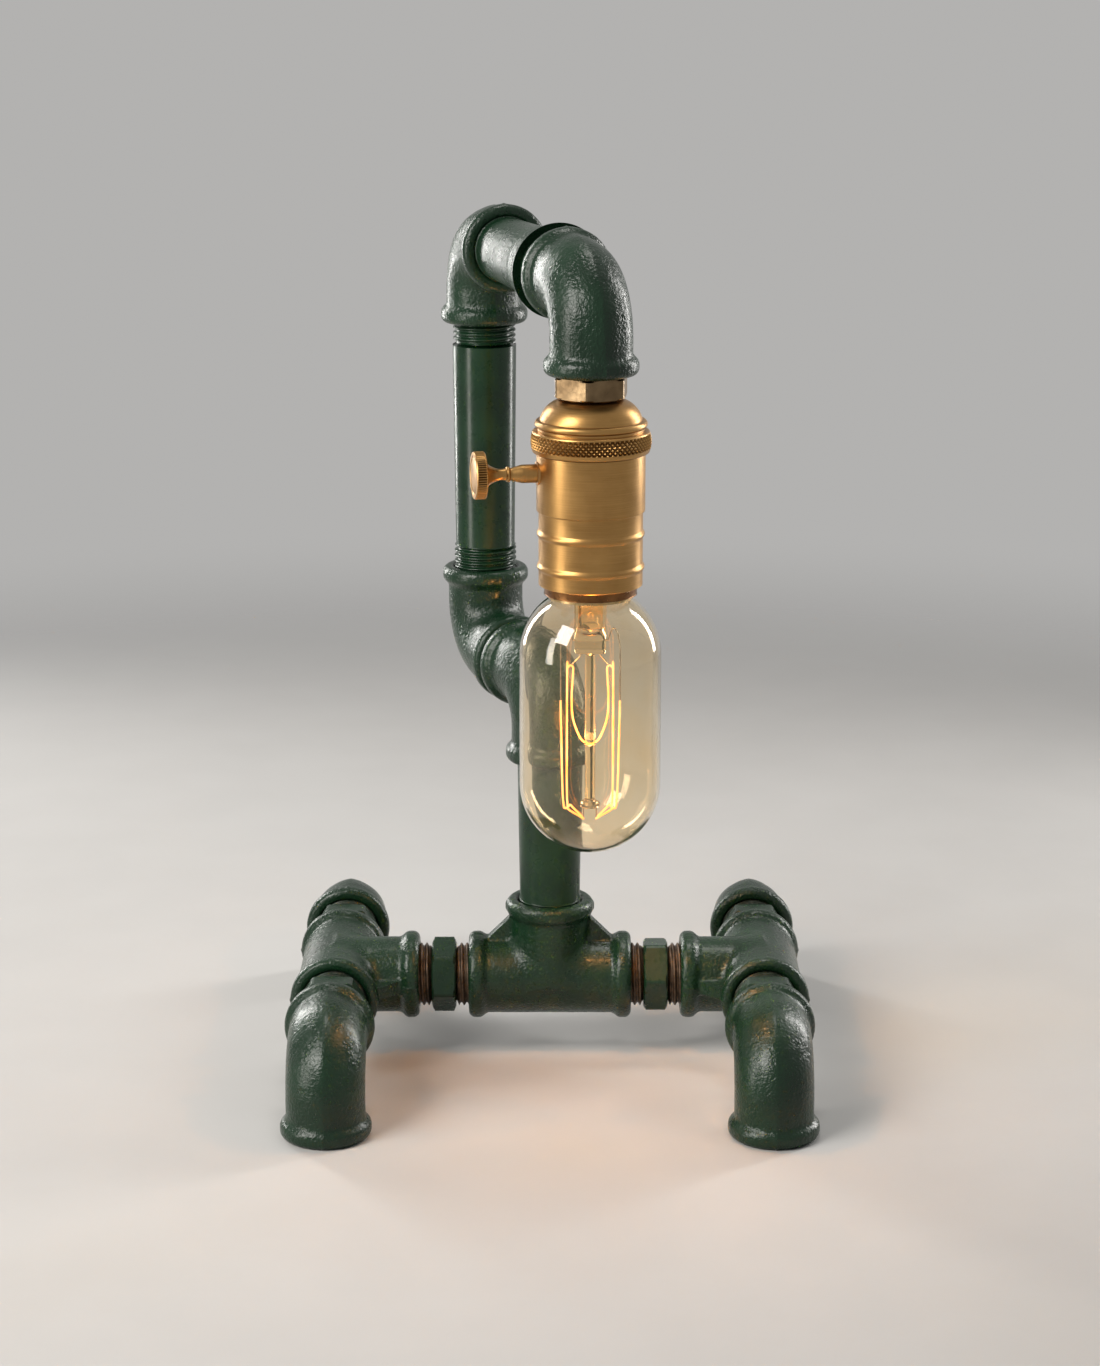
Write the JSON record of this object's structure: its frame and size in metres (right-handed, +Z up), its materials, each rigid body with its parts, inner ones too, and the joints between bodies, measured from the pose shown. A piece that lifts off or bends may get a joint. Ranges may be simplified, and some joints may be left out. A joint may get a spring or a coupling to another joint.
{
  "type": "pipe table lamp",
  "caption": "Table lamp of painted pipe fittings on a four-footed base, with threaded swivels, a brass lampholder with a turn key, and a tubular filament bulb.",
  "frame": {"origin": "on the table, midway between the four feet and under the riser pipe", "axes": "+Z up, +X to the right as the viewer faces the lamp, -Y towards the viewer"},
  "size_m": [0.1706, 0.175, 0.281],
  "materials": {
    "green_enamel": "dark green enamel over rough cast iron, semi-gloss",
    "green_nipple": "green enamel on the hexagon, bronze-brown bare thread",
    "dark_thread": "bare dark thread, oiled",
    "cord_sheath": "matt black cord sheath",
    "black_rubber": "matt black rubber",
    "nickel_brass": "dull nickel-brass, machined",
    "satin_brass": "satin brass with fine turning lines",
    "bare_brass": "plain stamped brass",
    "copper_brass": "warm copper-toned brass",
    "fibre_liner": "varnished fibre",
    "porcelain": "unglazed porcelain",
    "moulded_drum": "brown moulded resin",
    "tinted_glass": "clear glass, faintly amber",
    "stem_glass": "clear pressed glass",
    "black_glass": "black vitreous insulator",
    "cap_brass": "rolled brass cap",
    "solder": "dull solder",
    "support_wire": "fine nickel wire",
    "glowing_filament": "incandescent wire"
  },
  "bodies": {
    "base": {"centre_tee": "green_enamel", "side_tee_left": "green_enamel", "side_tee_right": "green_enamel", "base_nipple_left": "green_nipple", "base_nipple_right": "green_nipple", "foot_nipple_front_left": "green_nipple", "foot_nipple_front_right": "green_nipple", "foot_nipple_rear_left": "green_nipple", "foot_nipple_rear_right": "green_nipple", "foot_elbow_front_left": "green_enamel", "foot_elbow_front_right": "green_enamel", "foot_elbow_rear_left": "green_enamel", "foot_elbow_rear_right": "green_enamel", "riser_pipe": "green_enamel", "cord_grommet": "black_rubber", "lead_base": "cord_sheath"},
    "column": {"riser_elbow": "green_enamel", "offset_nipple": "dark_thread", "column_elbow": "green_enamel", "column_pipe": "green_enamel", "lead_column": "cord_sheath"},
    "arm": {"arm_elbow": "green_enamel", "arm_extension": "green_enamel", "lead_arm": "cord_sheath"},
    "head": {"head_nipple": "dark_thread", "head_elbow": "green_enamel", "hex_bushing": "nickel_brass", "lamp_rod": "nickel_brass", "lock_nut": "nickel_brass", "socket_cap": "satin_brass", "clamp_ring": "satin_brass", "socket_shell": "satin_brass", "insulating_liner": "fibre_liner", "switch_body": "porcelain", "screw_shell": "bare_brass", "centre_contact": "bare_brass", "fixed_contacts": "bare_brass", "terminal_screws": "bare_brass", "lower_collar": "copper_brass", "key_bush": "bare_brass", "lead_head": "cord_sheath"},
    "key": {"switch_key": "satin_brass", "switch_rotor": "moulded_drum"},
    "bulb": {"bulb_glass": "tinted_glass", "bulb_cap": "cap_brass", "cap_insulator": "black_glass", "cap_contact": "solder", "bulb_stem": "stem_glass", "glass_rod": "stem_glass", "lead_wires": "support_wire", "support_wires": "support_wire", "filament": "glowing_filament"}
  },
  "joints": [
    {"name": "column_swivel", "type": "hinge", "parent": "base", "child": "column", "pos_m": [0, 0, 0.1075], "axis": [0, 0, 1], "range_deg": [-180, 180]},
    {"name": "arm_swing", "type": "hinge", "parent": "column", "child": "arm", "pos_m": [-0.02188, 0.05155, 0.2445], "axis": [0, 0, 1], "range_deg": [-180, 180]},
    {"name": "head_swivel", "type": "hinge", "parent": "arm", "child": "head", "pos_m": [0.01242, -0.05926, 0.266], "axis": [0.2957, -0.9553, 0], "range_deg": [-90, 90]},
    {"name": "key_turn", "type": "hinge", "parent": "head", "child": "key", "pos_m": [0.01242, -0.05926, 0.2095], "axis": [-0.9816, -0.1908, 0], "continuous": true},
    {"name": "bulb_out", "type": "slide", "parent": "head", "child": "bulb", "axis": [0, 0, -1], "range_m": [0, 0.03]}
  ]
}
